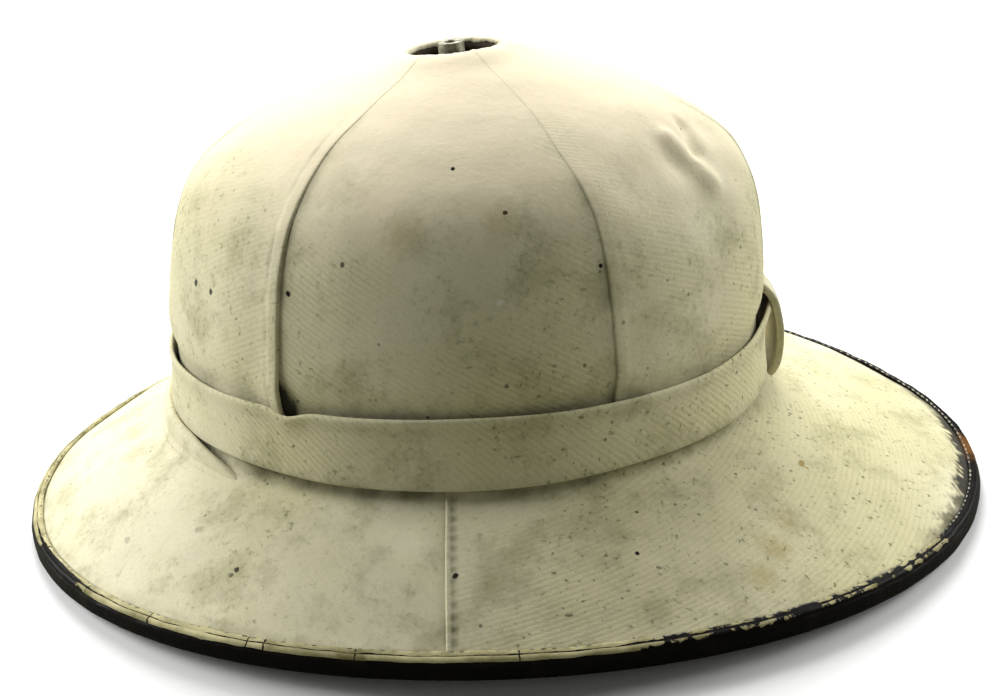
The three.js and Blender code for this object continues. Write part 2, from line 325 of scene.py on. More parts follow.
def add(tree, kind, settings=None, **links):
    """Adds a node, with its settings as attributes or socket values, and its links by socket name or, as i0
    and i1, by socket number."""
    node = tree.nodes.new(kind)
    for key, value in (settings or {}).items():
        if isinstance(key, int) or key in node.inputs:
            node.inputs[key].default_value = value
        else:
            setattr(node, key, value)
    for key, source in links.items():
        numbered = key[0] == "i" and key[1:].isdigit()
        socket = node.inputs[int(key[1:]) if numbered else key]
        tree.links.new(source, socket)
    return node


def new_material(name):
    material = bpy.data.materials.new(name)
    material.use_nodes = True
    tree = material.node_tree
    tree.nodes.clear()
    output = tree.nodes.new("ShaderNodeOutputMaterial")
    shader = tree.nodes.new("ShaderNodeBsdfPrincipled")
    tree.links.new(shader.outputs[0], output.inputs["Surface"])
    return material, tree, shader


def own_place(tree):
    return tree.nodes.new("ShaderNodeTexCoord").outputs["Object"]


def attribute(tree, name):
    """The value that a piece's points carry under a name."""
    return add(tree, "ShaderNodeAttribute", {"attribute_name": name}).outputs["Fac"]


def cloth_map(tree):
    return add(tree, "ShaderNodeUVMap", {"uv_map": "Cloth"}).outputs[0]


def noise(tree, place, scale, detail=2.0, roughness=0.5):
    settings = {"Scale": scale, "Detail": detail, "Roughness": roughness}
    return add(tree, "ShaderNodeTexNoise", settings, Vector=place).outputs["Fac"]


def rescale(tree, value, low, high, to_low=0.0, to_high=1.0):
    settings = {"From Min": low, "From Max": high, "To Min": to_low, "To Max": to_high}
    return add(tree, "ShaderNodeMapRange", settings, Value=value).outputs[0]


def calc(tree, operation, a, b):
    """Sum, difference or product of two values, kept between 0 and 1."""
    settings, links = {"operation": operation, "use_clamp": True}, {}
    for index, value in enumerate((a, b)):
        if isinstance(value, (int, float)):
            settings[index] = value
        else:
            links[f"i{index}"] = value
    return add(tree, "ShaderNodeMath", settings, **links).outputs[0]


def times(tree, a, b):
    return calc(tree, "MULTIPLY", a, b)


def weighed(tree, value, weight, onto):
    """A value times a fixed weight, added to another, without limits."""
    settings = {"operation": "MULTIPLY_ADD", 1: weight}
    return add(tree, "ShaderNodeMath", settings, i0=value, i2=onto).outputs[0]


def distance_to(tree, place, point):
    settings = {"operation": "DISTANCE", 1: point}
    return add(tree, "ShaderNodeVectorMath", settings, i0=place).outputs["Value"]


def mixed(tree, share, under, over):
    """Mixes a colour over another by a share. Each colour is a socket or a hex value."""
    settings, links = {"data_type": "RGBA"}, {"i0": share}
    for index, colour in ((6, under), (7, over)):
        if isinstance(colour, str):
            settings[index] = linear(colour)
        else:
            links[f"i{index}"] = colour
    return add(tree, "ShaderNodeMix", settings, **links).outputs[2]


def bumps(tree, *layers):
    """Bumps laid one over another, each given as its height, its strength and its depth in metres."""
    normal = None
    for height, strength, depth in layers:
        links = {"Height": height} if normal is None else {"Height": height, "Normal": normal}
        normal = add(tree, "ShaderNodeBump", {"Strength": strength, "Distance": depth}, **links).outputs[0]
    return normal


def twill_ribs(tree, place, sizes):
    """Ribs of the twill, drawn at their real spacing, and how strongly they show. The threads between them
    are too fine to show."""
    waves_per_unit = 0.31416  # a wave texture at this scale repeats once in each unit
    settings = {"bands_direction": "Y", "Scale": waves_per_unit / (sizes.rib_spacing / MM), "Distortion": 2.2,
                "Detail": 2.0, "Detail Scale": 1.6, "Detail Roughness": 0.6}
    ribs = add(tree, "ShaderNodeTexWave", settings, Vector=cloth_map(tree)).outputs["Fac"]
    worn = rescale(tree, noise(tree, place, 22.0, 3.0), 0.42, 0.62, 0.2, 1.0)
    return ribs, times(tree, worn, attribute(tree, "ribbed"))


def dirt_and_shade(tree, place, grooves, grain, soil, colours):
    """The cloth's colour: broad yellowing, smaller blotches, dirt in the grooves, darkening beside seams and
    edges that is partly dirt and partly painted shade, and speckle from fine to coarse."""
    broad = noise(tree, place, 11.0, 4.0, 0.55)
    blotch = noise(tree, place, 55.0, 5.0, 0.62)
    fine = noise(tree, place, 520.0, 3.0, 0.6)
    colour = mixed(tree, rescale(tree, broad, 0.38, 0.66, 0.0, 0.75), colours.clean, colours.yellowed)
    colour = mixed(tree, rescale(tree, blotch, 0.50, 0.74, 0.0, 0.55), colour, colours.soiled)
    colour = mixed(tree, grooves, colour, colours.soiled)
    # Darker beside seams and edges and under the hatband: partly dirt, partly painted shade.
    gathered = times(tree, soil, rescale(tree, blotch, 0.30, 0.62, 0.45, 1.35))
    colour = mixed(tree, gathered, colour, colours.grime_and_shade)
    patchy = rescale(tree, broad, 0.42, 0.60, 0.15, 1.0)
    speckle = times(tree, rescale(tree, fine, 0.63, 0.70), patchy)
    colour = mixed(tree, times(tree, speckle, 0.75), colour, colours.speck_and_shadow)
    gritty = times(tree, rescale(tree, fine, 0.50, 0.66), rescale(tree, blotch, 0.42, 0.60, 0.1, 1.0))
    colour = mixed(tree, times(tree, gritty, 0.34), colour, colours.soiled)
    colour = mixed(tree, rescale(tree, grain, 0.35, 0.65, 0.16, 0.0), colour, colours.soiled)
    flecks = add(tree, "ShaderNodeTexVoronoi", {"Scale": 150.0, "Randomness": 1.0}, Vector=place)
    chance = add(tree, "ShaderNodeSeparateColor", Color=flecks.outputs["Color"]).outputs[0]
    small = rescale(tree, flecks.outputs["Distance"], 0.12, 0.06)
    fleck = times(tree, small, rescale(tree, chance, 0.74, 0.80))
    return mixed(tree, times(tree, fleck, 0.65), colour, colours.speck_and_shadow)


def stained(tree, place, colour, colours):
    """The larger spots and stains over a colour, each with a ragged edge."""
    wobble = add(tree, "ShaderNodeTexNoise", {"Scale": 420.0, "Detail": 2.0}, Vector=place).outputs["Color"]
    reach = 1.1  # how far an edge wanders, in radii; the centre is moved by half of it to stay in place
    for centre, radius, strength, kind in MARKS:
        settings = {"operation": "MULTIPLY_ADD", 1: (radius * MM * reach,) * 3}
        ragged = add(tree, "ShaderNodeVectorMath", settings, i0=wobble, i2=place).outputs[0]
        apart = distance_to(tree, ragged, tuple((c + radius * reach / 2) * MM for c in centre))
        solid = 0.25 if radius > 3 else 0.75
        share = rescale(tree, apart, radius * MM, radius * MM * solid, 0.0, strength)
        colour = mixed(tree, share, colour, getattr(colours, kind))
    return colour


def cotton_drill(name, colours, sizes):
    """Cotton drill, woven in a twill and whitened over the years: matt, ribbed and blotched with old dirt."""
    material, tree, shader = new_material(name)
    place = own_place(tree)
    soil = attribute(tree, "soil")
    ribs, rib_share = twill_ribs(tree, place, sizes)
    grain = noise(tree, place, 1400.0, 3.0, 0.7)
    lumps = noise(tree, place, 240.0, 4.0, 0.65)
    grooves = times(tree, rescale(tree, ribs, 0.45, 0.0), times(tree, rib_share, 0.30))
    colour = dirt_and_shade(tree, place, grooves, grain, soil, colours)
    # Painted highlight: the crown's top is painted near white, less so where the soil and shade attribute is
    # high; where that attribute is highest the colour is almost black, which is deep dirt in places and
    # painted shadow under laps, in gaps and along the binding's edge.
    highlight = times(tree, attribute(tree, "fresh"), rescale(tree, soil, 0.0, 0.35, 0.85, 0.1))
    colour = mixed(tree, highlight, colour, colours.fresh)
    colour = mixed(tree, rescale(tree, soil, 0.72, 1.0, 0.0, 0.85), colour, colours.speck_and_shadow)
    tree.links.new(stained(tree, place, colour, colours), shader.inputs["Base Color"])
    raised = times(tree, ribs, rib_share)
    normal = bumps(tree, (raised, 0.5, 0.00016), (grain, 0.5, 0.00010), (lumps, 0.6, 0.0003))
    tree.links.new(normal, shader.inputs["Normal"])
    shader.inputs["Roughness"].default_value = 0.92
    shader.inputs["Specular IOR Level"].default_value = 0.25
    shader.inputs["Sheen Weight"].default_value = 0.12
    return material


def cracks_across(tree, place, bead):
    """Splits across the bead, each at its place along the strip."""
    along = add(tree, "ShaderNodeSeparateXYZ", Vector=cloth_map(tree)).outputs["X"]
    along = weighed(tree, noise(tree, place, 700.0, 2.0), 1.6, along)
    crack = None
    for position, width in CRACKS:
        settings = {"operation": "COMPARE", 1: position, 2: width}
        here = add(tree, "ShaderNodeMath", settings, i0=along).outputs[0]
        crack = here if crack is None else calc(tree, "ADD", crack, here)
    return times(tree, crack, bead)


def bound_leather(colours):
    """Black-brown calf leather, folded wet over the edge and painted along its bead: bare and dull below,
    with the paint split across the bead and flaked off where it has been handled."""
    material, tree, shader = new_material("Binding leather, folded and painted")
    place = own_place(tree)
    bead = attribute(tree, "bead")
    flakes = noise(tree, place, 260.0, 5.0, 0.6)
    patches = noise(tree, place, 60.0, 3.0)
    uneven = calc(tree, "ADD", times(tree, flakes, 0.55), times(tree, patches, 0.45))
    kept = times(tree, attribute(tree, "paint"), bead)
    painted = rescale(tree, calc(tree, "ADD", uneven, times(tree, kept, 0.55)), 0.77, 0.80)
    crack = cracks_across(tree, place, bead)
    painted = calc(tree, "SUBTRACT", painted, crack)

    tint = noise(tree, place, 130.0, 4.0)
    cream = mixed(tree, rescale(tree, tint, 0.35, 0.7), colours.paint, colours.paint_soiled)
    brown = mixed(tree, rescale(tree, tint, 0.52, 0.75, 0.0, 0.6), colours.leather, colours.leather_worn)
    rubbed = weighed(tree, flakes, 0.016, distance_to(tree, place, RUBBED_PLACE))
    brown = mixed(tree, rescale(tree, rubbed, 0.020, 0.012, 0.0, 0.85), brown, colours.leather_rubbed)
    colour = mixed(tree, painted, brown, cream)
    tree.links.new(mixed(tree, crack, colour, colours.leather), shader.inputs["Base Color"])

    grain = add(tree, "ShaderNodeTexVoronoi", {"Scale": 1100.0}, Vector=place).outputs["Distance"]
    normal = bumps(tree, (grain, 0.5, 0.00010), (painted, 0.8, 0.00025), (flakes, 0.6, 0.0004))
    tree.links.new(normal, shader.inputs["Normal"])
    dull = calc(tree, "ADD", painted, times(tree, tint, 0.3))
    tree.links.new(rescale(tree, dull, 0.0, 1.2, 0.38, 0.75), shader.inputs["Roughness"])
    shader.inputs["Specular IOR Level"].default_value = 0.08
    return material


def moulded_pith(colours):
    """Sola pith, pressed in layers over a block and left bare inside: soft, matt and finely fibrous, and
    darkened almost to black towards its top, round the vent."""
    material, tree, shader = new_material("Sola pith, moulded and bare")
    place = own_place(tree)
    fibre = add(tree, "ShaderNodeMapping", {"Scale": (1.0, 1.0, 0.25)}, Vector=place).outputs[0]
    strands = noise(tree, fibre, 320.0, 5.0, 0.7)
    cloud = noise(tree, place, 18.0, 4.0)
    height = add(tree, "ShaderNodeSeparateXYZ", Vector=place).outputs["Z"]
    colour = mixed(tree, rescale(tree, cloud, 0.35, 0.7), colours.pith, colours.pith_dark)
    colour = mixed(tree, rescale(tree, strands, 0.5, 0.75, 0.0, 0.5), colour, colours.pith_dark)
    colour = mixed(tree, rescale(tree, height, 0.135, 0.15, 0.0, 0.9), colour, colours.speck_and_shadow)
    tree.links.new(colour, shader.inputs["Base Color"])
    tree.links.new(bumps(tree, (strands, 0.7, 0.0004)), shader.inputs["Normal"])
    shader.inputs["Roughness"].default_value = 0.95
    return material


def dull_zinc(colours):
    """Sheet zinc, stamped and gone grey: a soft metal with dull, uneven reflections."""
    material, tree, shader = new_material("Zinc sheet, stamped and dulled")
    cloud = noise(tree, own_place(tree), 420.0, 4.0)
    colour = mixed(tree, rescale(tree, cloud, 0.35, 0.7), colours.zinc, colours.zinc_dark)
    tree.links.new(colour, shader.inputs["Base Color"])
    tree.links.new(rescale(tree, cloud, 0.3, 0.7, 0.45, 0.7), shader.inputs["Roughness"])
    shader.inputs["Metallic"].default_value = 0.6
    return material


def waxed_thread(colours):
    """Linen thread, twisted and waxed: pale and slightly shiny."""
    material, tree, shader = new_material("Linen thread, twisted and waxed")
    place = own_place(tree)
    twist = add(tree, "ShaderNodeTexWave", {"Scale": 900.0, "Distortion": 1.0}, Vector=place).outputs["Fac"]
    dirt = rescale(tree, noise(tree, place, 160.0), 0.42, 0.62)
    tree.links.new(mixed(tree, dirt, colours.thread, colours.thread_soiled), shader.inputs["Base Color"])
    tree.links.new(bumps(tree, (twist, 0.5, 0.0001)), shader.inputs["Normal"])
    shader.inputs["Roughness"].default_value = 0.6
    return material


def material_for(name, maker, *arguments):
    return bpy.data.materials.get(name) or maker(*arguments)


# ---- properties ----
def length_property(name, description, default):
    return bpy.props.FloatProperty(name=name, description=description, default=default, unit="LENGTH")


def colour_property(name, description, default):
    return bpy.props.StringProperty(name=name, description=description, default=default)


class HelmetSizes(bpy.types.PropertyGroup):
    """Sizes of the cloth, its seams and the stitching."""
    cloth: length_property("Cloth", "Thickness of the cotton cover", 0.0008)
    rib_spacing: length_property("Rib spacing", "Distance between the twill's ribs", 0.0018)
    stitch: length_property("Stitch", "Distance from one stitch to the next", 0.0033)
    keeper_width: length_property("Keeper width", "Width of the loop behind the hatband", 0.020)


class HelmetColours(bpy.types.PropertyGroup):
    """Colours as sRGB hex values."""
    clean: colour_property("Clean cloth", "Whitened cotton", "#EBE5C6")
    # Painted highlight: the near white that the crown's top is painted.
    fresh: colour_property("Fresh cloth", "Cotton kept white on the top", "#F1E3C4")
    yellowed: colour_property("Yellowed cloth", "Cotton yellowed by age", "#DAD4A2")
    soiled: colour_property("Soiled cloth", "Cotton with dirt in it", "#989468")
    # Grime, and also the painted shade beside seams, under the hatband and along the binding.
    grime_and_shade: colour_property("Grime", "Dirt beside seams and edges", "#4A4530")
    # Specks, and also the painted shadow that is almost black, under laps and in gaps.
    speck_and_shadow: colour_property("Speck", "Small dark spots", "#1E1A11")
    chalk: colour_property("Chalk", "Pale rubbed spots", "#F2EFE0")
    ochre: colour_property("Ochre", "Yellow-brown stains", "#A58F4E")
    leather: colour_property("Leather", "Bare leather", "#0C0A08")
    leather_worn: colour_property("Worn leather", "Scuffed leather", "#251D15")
    leather_rubbed: colour_property("Rubbed leather", "Leather worn to its flesh", "#7A5226")
    paint: colour_property("Paint", "Cream paint on the bead", "#CDC598")
    paint_soiled: colour_property("Soiled paint", "Dirty paint", "#7F7A52")
    pith: colour_property("Pith", "Bare pith", "#9A7E54")
    pith_dark: colour_property("Dark pith", "Pith darkened by wear", "#59442A")
    zinc: colour_property("Zinc", "Grey zinc", "#9A9883")
    zinc_dark: colour_property("Dark zinc", "Tarnished zinc", "#55533F")
    thread: colour_property("Thread", "Stitching thread", "#BDB79F")
    thread_soiled: colour_property("Soiled thread", "Dirty thread", "#4C4636")


def settings_of(context):
    return context.scene.helmet_sizes, context.scene.helmet_colours


def drill(context):
    sizes, colours = settings_of(context)
    name = "Cotton drill, woven and whitened"
    return material_for(name, cotton_drill, name, colours, sizes)


# ---- the pieces ----
# Distances in from a panel's edge, in millimetres, at which it has a column, and how high a turned edge
# stands over the panel beneath it at each of them.
EDGE_STEPS = np.array([0.0, 0.25, 0.6, 1.1, 1.9, 3.0, 4.2, 4.9, 5.8, 7.2, 9.5])
TURNED = np.array([0.1, 0.75, 1.05, 1.15, 1.12, 1.1, 1.0, 0.55, 0.38, 0.15, 0.0])
# The brim's seam is turned over a cord, with its stitches in a groove behind.
CORDED = np.array([0.1, 0.75, 0.95, 0.75, 0.28, 0.30, 0.32, 0.28, 0.2, 0.1, 0.0])
LAP_BEYOND = 0.9  # how far a lapped edge reaches past the seam, in millimetres
TUCK_BEYOND = 5.5  # how far a tucked edge reaches under its neighbour
WEAVE_STEP = 1.7  # how far apart two panels' maps lie, for each degree between their first edges

# name, first angle, last angle, how thickly each edge laps over its neighbour, the turn of its weave, how
# strongly its ribs show
GORES = (
    ("rear_right", 0, 60, 0.0, 0.3, -24, 0.7),
    ("side_right", 60, 120, 0.0, 0.0, 30, 0.7),
    ("front_right", 120, 180, 1.0, 0.0, -24, 0.4),
    ("front_left", 180, 240, 1.0, 1.0, 26, 0.35),
    ("side_left", 240, 300, 0.0, 0.0, -32, 0.65),
    ("rear_left", 300, 360, 0.3, 1.0, -22, 0.6),
)


def panel_angles(first, last, stations, inner, tuck_first, tuck_last):
    """Angles for the columns of a panel, row by row, close together at its two edges. A tucked edge reaches
    on under its neighbour. Also gives each point's station and its distance from both seams."""
    first, last = math.radians(first), math.radians(last)
    angles = []
    for station in stations:
        _, _, scale_first = directions(np.array([first]), np.array([station]))
        _, _, scale_last = directions(np.array([last]), np.array([station]))
        width = (last - first) * (scale_first[0] + scale_last[0]) / 2
        steps = EDGE_STEPS * min(1.0, width / (2.5 * EDGE_STEPS[-1]))
        low = first - tuck_first / scale_first[0] + steps / scale_first[0]
        high = last + tuck_last / scale_last[0] - steps[::-1] / scale_last[0]
        angles.append(np.concatenate([low, np.linspace(low[-1], high[0], inner + 2)[1:-1], high]))
    angles = np.array(angles)
    grid = np.broadcast_to(np.asarray(stations)[:, None], angles.shape)
    _, _, scale = directions(angles, grid)
    return angles, grid, (angles - first) * scale, (last - angles) * scale


def panel(name, first, last, stations, inner, laps, heights, turn, ribbed, soil_and_shade_of):
    """One panel of cloth over the body, with each edge lapped over its neighbour or tucked beneath it."""
    tucks = [LAP_BEYOND if lap else TUCK_BEYOND for lap in laps]
    angles, grid, from_first, to_last = panel_angles(first, last, stations, inner, *tucks)
    narrow = np.clip((from_first + to_last) / 30, 0.3, 1)
    out = np.zeros(angles.shape)
    flat = np.clip((150 - surface(angles, grid)[..., 2]) / 45, 0.06, 1)
    for lap, tuck, distance in zip(laps, tucks, (from_first, to_last)):
        if lap:
            out = np.maximum(out, lap * flat * np.interp((distance + tuck) / narrow, EDGE_STEPS, heights))
    out, soil = soil_and_shade_of(angles, grid, from_first, to_last, out)
    points = laid(angles, grid, out)
    weave = map_of(points, math.radians(turn), (first * WEAVE_STEP, 0.0))
    # Painted highlight, growing towards the crown's top; the ribs fade under it.
    fresh = np.clip((points[..., 2] + ripple(points, 83, 12, 50, 6) - 108) / 32, 0, 1)
    ribbed = ribbed * (1 - 0.92 * fresh[::-1])
    return cloth_grid(name, points[::-1], weave[::-1], soil=soil[::-1], ribbed=ribbed, fresh=fresh[::-1])


def seam_dirt_and_shadow(distance, lap, points, seed):
    """Dirt beside a seam along the turned strip's inner fold where it laps; where it is lapped, painted shadow
    with some dirt against the edge that lies over it."""
    patchy = 0.75 + ripple(points, seed, 6, 30, 0.35)
    if lap:
        inner_fold, outer_edge = 4.2, -0.7
        folded = 0.42 * lap * bump(distance - inner_fold, 0.9) * patchy
        return folded + 0.25 * bump(distance - outer_edge, 0.5)
    # Painted shadow, with some dirt, beside the edge that laps over this panel; black beneath it.
    shadow_and_dirt = 0.9 * np.exp(-np.maximum(distance, 0) / 1.3) + 0.3 * bump(distance, 6)
    return np.where(distance > 0, shadow_and_dirt * patchy, 1.0)


class HELMET_OT_shell(bpy.types.Operator):
    """Build the moulded pith body, smooth inside and out"""
    bl_idname = "helmet.shell"
    bl_label = "Pith shell"

    def execute(self, context):
        _, colours = settings_of(context)
        activate(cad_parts["pith_shell"])
        bpy.ops.object.duplicate()
        piece = context.object
        piece.name = piece.data.name = "pith_body"
        edit(piece, lambda: bpy.ops.mesh.remove_doubles(threshold=0.00001))
        edit(piece, lambda: bpy.ops.mesh.tris_convert_to_quads())
        modify(piece, "SUBSURF", levels=1, render_levels=1)
        finish_piece(piece, moulded_pith(colours), "pith", "pith_shell")
        return {"FINISHED"}


class HELMET_OT_gores(bpy.types.Operator):
    """Lay the six cloth panels of the crown, the front and rear ones lapped over the side ones"""
    bl_idname = "helmet.gores"
    bl_label = "Crown panels"

    def execute(self, context):
        sizes, _ = settings_of(context)
        for index, (place, first, last, lap_first, lap_last, turn, ribbed) in enumerate(GORES):
            stations = even_stations(math.radians((first + last) / 2), 0, FOOT, 92)

            def shape(angles, grid, from_first, to_last, out):
                points = surface(angles, grid)
                z = points[..., 2]
                reach = np.hypot(points[..., 0] - AXIS_X, points[..., 1])
                # A raised lip round the vent, with the cloth's worn edge turned down inside it.
                out = out + 0.4 * bump(reach - 19.5, 5) - 1.6 * np.clip(1 - (reach - 14) / 1.6, 0, 1)
                # The lip stands higher on the near side, and its edge is ragged.
                near, far = np.clip(-np.sin(angles), 0, 1), np.clip(np.sin(angles), 0, 1)
                out = out + (1.3 * near - 0.4 * far) * bump(reach - 14, 8)
                out = out + ripple(points, 87, 1.4, 5, 0.30) * bump(reach - 14.5, 1.6)
                if place == "front_left":
                    # The turned edge has come away from the crown at its foot.
                    loose = bump(np.maximum(z - 66, 0), 8) * np.clip((z - 60) / 5, 0, 1)
                    out = out + 1.9 * loose * np.clip(1 - to_last / 11, 0, 1)
                if place == "side_left":
                    # The panel beneath is pressed in beside it.
                    out = out - 0.35 * bump(from_first - 2.5, 4) * bump(np.maximum(z - 65, 0), 7)
                soil = seam_dirt_and_shadow(from_first, lap_first, points, 11 + index)
                other = seam_dirt_and_shadow(to_last, lap_last, points, 31 + index)
                soil = np.maximum(soil, other * (0.6 if place == "side_left" else 1.0))
                # Less of it towards the crown's top. Then a painted shade just above the hatband's top, and a
                # dark ring at the vent's turned edge.
                soil = soil * np.clip((155 - z) / 30, 0.15, 1)
                soil = soil + 0.35 * np.exp(-np.maximum(z - 66, 0) / 2.2) + 0.5 * bump(reach - 14, 1.2)
                # Painted shadow under the front panel's edge where it has come away at the foot.
                if place == "side_left":
                    soil = soil + 1.3 * bump(from_first - 1, 3.5) * bump(np.maximum(z - 64, 0), 7)
                return out, np.clip(soil, 0, 1)

            laps = (lap_first, lap_last)
            name = f"crown_panel_{place}"
            piece = panel(name, first, last, stations, 44, laps, TURNED, turn, ribbed, shape)
            modify(piece, "SOLIDIFY", thickness=sizes.cloth, offset=-1)
            finish_piece(piece, drill(context), "cotton_drill", f"gore_{place}")
        return {"FINISHED"}


# name, first angle, laps, the turn of its weave, how strongly its ribs show
COVERS = (("rear", -90, (1, 1), 16, 0.55), ("front", 90, (0, 0), -28, 0.15))


class HELMET_OT_brim(bpy.types.Operator):
    """Lay the two cloth covers of the brim, the rear one turned over a cord at each side seam"""
    bl_idname = "helmet.brim"
    bl_label = "Brim covers"

    def execute(self, context):
        sizes, _ = settings_of(context)
        pitch = sizes.stitch / MM
        near_rim = EDGE - np.array([1.0, 0.78, 0.66, 0.55, 0.45, 0.3, 0.0])
        for place, first, laps, turn, ribbed in COVERS:
            open_cloth = even_stations(math.radians(first + 90), FOOT + 0.2, EDGE - 1.12, 64)
            stations = np.concatenate([open_cloth, near_rim])

            def shape(angles, grid, from_first, to_last, out):
                points = surface(angles, grid)
                rim = surface(angles, EDGE - 1)
                to_rim = np.linalg.norm(points - rim, axis=-1) * np.sign(EDGE - 1 - grid)
                radial = np.hypot(points[..., 0], points[..., 1])
                soil = np.zeros(angles.shape)
                for lap, distance in zip(laps, (from_first, to_last)):
                    if lap:
                        beat = 0.5 + 0.5 * np.cos(radial * 2 * math.pi / pitch)
                        out = out - 0.28 * bump(distance - 1.2, 0.7) * beat
                        soil = np.maximum(soil, 0.62 * bump(distance - 1.5, 0.9) * (0.25 + 0.75 * beat))
                    else:
                        # Painted shadow against the cord's edge, where this cover runs beneath the other.
                        soil = np.maximum(soil, 0.75 * np.exp(-np.maximum(distance, 0) / 0.7))
                # Painted shade: the near side is darker all over.
                soil = soil + 0.22 * bump(np.hypot(points[..., 0] - 10, (points[..., 1] + 122) * 1.3), 85)
                # Painted shadow under the hatband, deeper at the near front, and along where the cloth goes
                # beneath the binding.
                root = bump(np.maximum(grid - (FOOT + 1.2), 0), 0.8)
                x, y = points[..., 0], points[..., 1]
                soil = np.maximum(soil, (0.42 + 0.25 * bump(x + 60, 45) * (y < 0)) * root)
                front_near = np.clip((-x + 40) / 60, 0, 1)
                edge_line = bump(np.maximum(to_rim - 0.3, 0), 0.7)
                soil = np.maximum(soil, (0.7 + 0.3 * front_near) * edge_line)
                hazy = bump(np.maximum(to_rim - 0.5, 0), 3.2) * (0.6 + ripple(points, 29, 5, 25, 0.3))
                hazy = hazy * np.clip((20 - x) / 60, 0.15, 1) * np.clip(-y / 40, 0, 1)
                soil = np.maximum(soil, 0.42 * hazy)
                # At the rear the cover is rubbed through, and its dark, frayed threads show in a fringe.
                frayed = np.clip((x - 118) / 22, 0, 1) * np.clip(1.3 - np.abs(y + 20) / 75, 0, 1)
                comb = 0.6 + ripple(points, 17, 0.9, 2.2, 0.35, 14) + ripple(points, 19, 4, 12, 0.3)
                fringe = np.clip(1.15 - to_rim / (2.0 + 4.2 * np.clip(comb, 0, 1.6)), 0, 1)
                soil = np.maximum(soil, frayed * np.clip(fringe * 2.2, 0, 1))
                return out, np.clip(soil, 0, 1)

            last = first + 180
            name = f"brim_panel_{place}"
            piece = panel(name, first, last, stations, 300, laps, CORDED, turn, ribbed, shape)
            modify(piece, "SOLIDIFY", thickness=sizes.cloth, offset=-1)
            finish_piece(piece, drill(context), "cotton_drill", f"brim_cover_{place}")
        return {"FINISHED"}


# The collar's roll above its foot: how far out each point stands, and its drop below the crest as a share.
COLLAR_SECTION = (
    (1.5, 0.72), (1.55, 0.45), (1.35, 0.2), (0.85, 0.04), (0.2, 0.0), (-0.45, 0.08), (-0.8, 0.3), (-0.9, 0.6),
    (-0.9, 0.9),
)


class HELMET_OT_collar(bpy.types.Operator):
    """Roll the brim's cloth up outside the hatband at the front"""
    bl_idname = "helmet.collar"
    bl_label = "Front collar"

    def execute(self, context):
        sizes, _ = settings_of(context)
        angles = np.radians(np.linspace(131, 229, 150))
        share = np.clip(1 - np.abs((angles - math.pi) / math.radians(49)) ** 4, 0, 1)
        foot = laid(angles, FOOT + 2.35, -0.3)
        crest = foot[:, 2] - 0.9 + 9.9 * share
        lean = 2.5 + 1.0 * share
        rows = []
        for station, low, high in ((2.7, -1.3, 0.2), (2.5, -1.2, 0.9), (2.3, -1.1, 1.7)):
            rows.append(laid(angles, FOOT + station, low + (high - low) * share))
        for out, drop in COLLAR_SECTION:
            height = crest - drop * (crest - foot[:, 2] + 0.3)
            rows.append(beside_crown(angles, height, lean + out * (0.5 + 0.5 * share)))
        points = np.array(rows)
        points += (ripple(points, 23, 12, 40, 0.18))[..., None] * np.array([0.5, 0.5, 1.0])
        soil = np.zeros(points.shape[:2])
        # Painted shade on the roll's inner face, in the gap against the hatband.
        soil[-3:] += 0.5
        weave = map_of(points, 0.5)
        piece = cloth_grid("front_collar_roll", points[::-1], weave[::-1], soil=soil[::-1], ribbed=0.3)
        modify(piece, "SUBSURF", levels=2, render_levels=2)
        modify(piece, "SOLIDIFY", thickness=sizes.cloth, offset=-1)
        finish_piece(piece, drill(context), "cotton_drill", "front_collar")
        return {"FINISHED"}


# The hatband's section: how far out it stands, and its height as a share of the way from its top to its foot,
# with a further step in millimetres.
BAND_SECTION = (
    (0.5, 0.3, 0.0), (0.6, 0.12, 0.0), (0.75, 0.0, -1.2), (0.95, 0.0, -0.45), (1.35, 0.0, -0.05),
    (1.85, 0.0, 0.0), (2.3, 0.0, -0.35), (2.5, 0.0, -0.9), (2.45, 0.0, -1.8), (2.3, 0.12, -0.6),
    (2.25, 0.25, 0.0), (2.3, 0.4, 0.0), (2.35, 0.55, 0.0), (2.35, 0.7, 0.0), (2.4, 0.8, 0.0), (2.5, 0.9, 0.0),
    (2.6, 1.0, 1.2), (2.55, 1.0, 0.55), (2.2, 1.0, 0.1), (1.7, 1.0, 0.0), (1.2, 1.0, 0.2), (0.8, 1.0, 0.8),
    (0.6, 0.85, 0.0), (0.5, 0.6, 0.0),
)
BAND_TOP, BAND_RISE, BAND_BOTTOM = 63.6, 2.2, 42.2


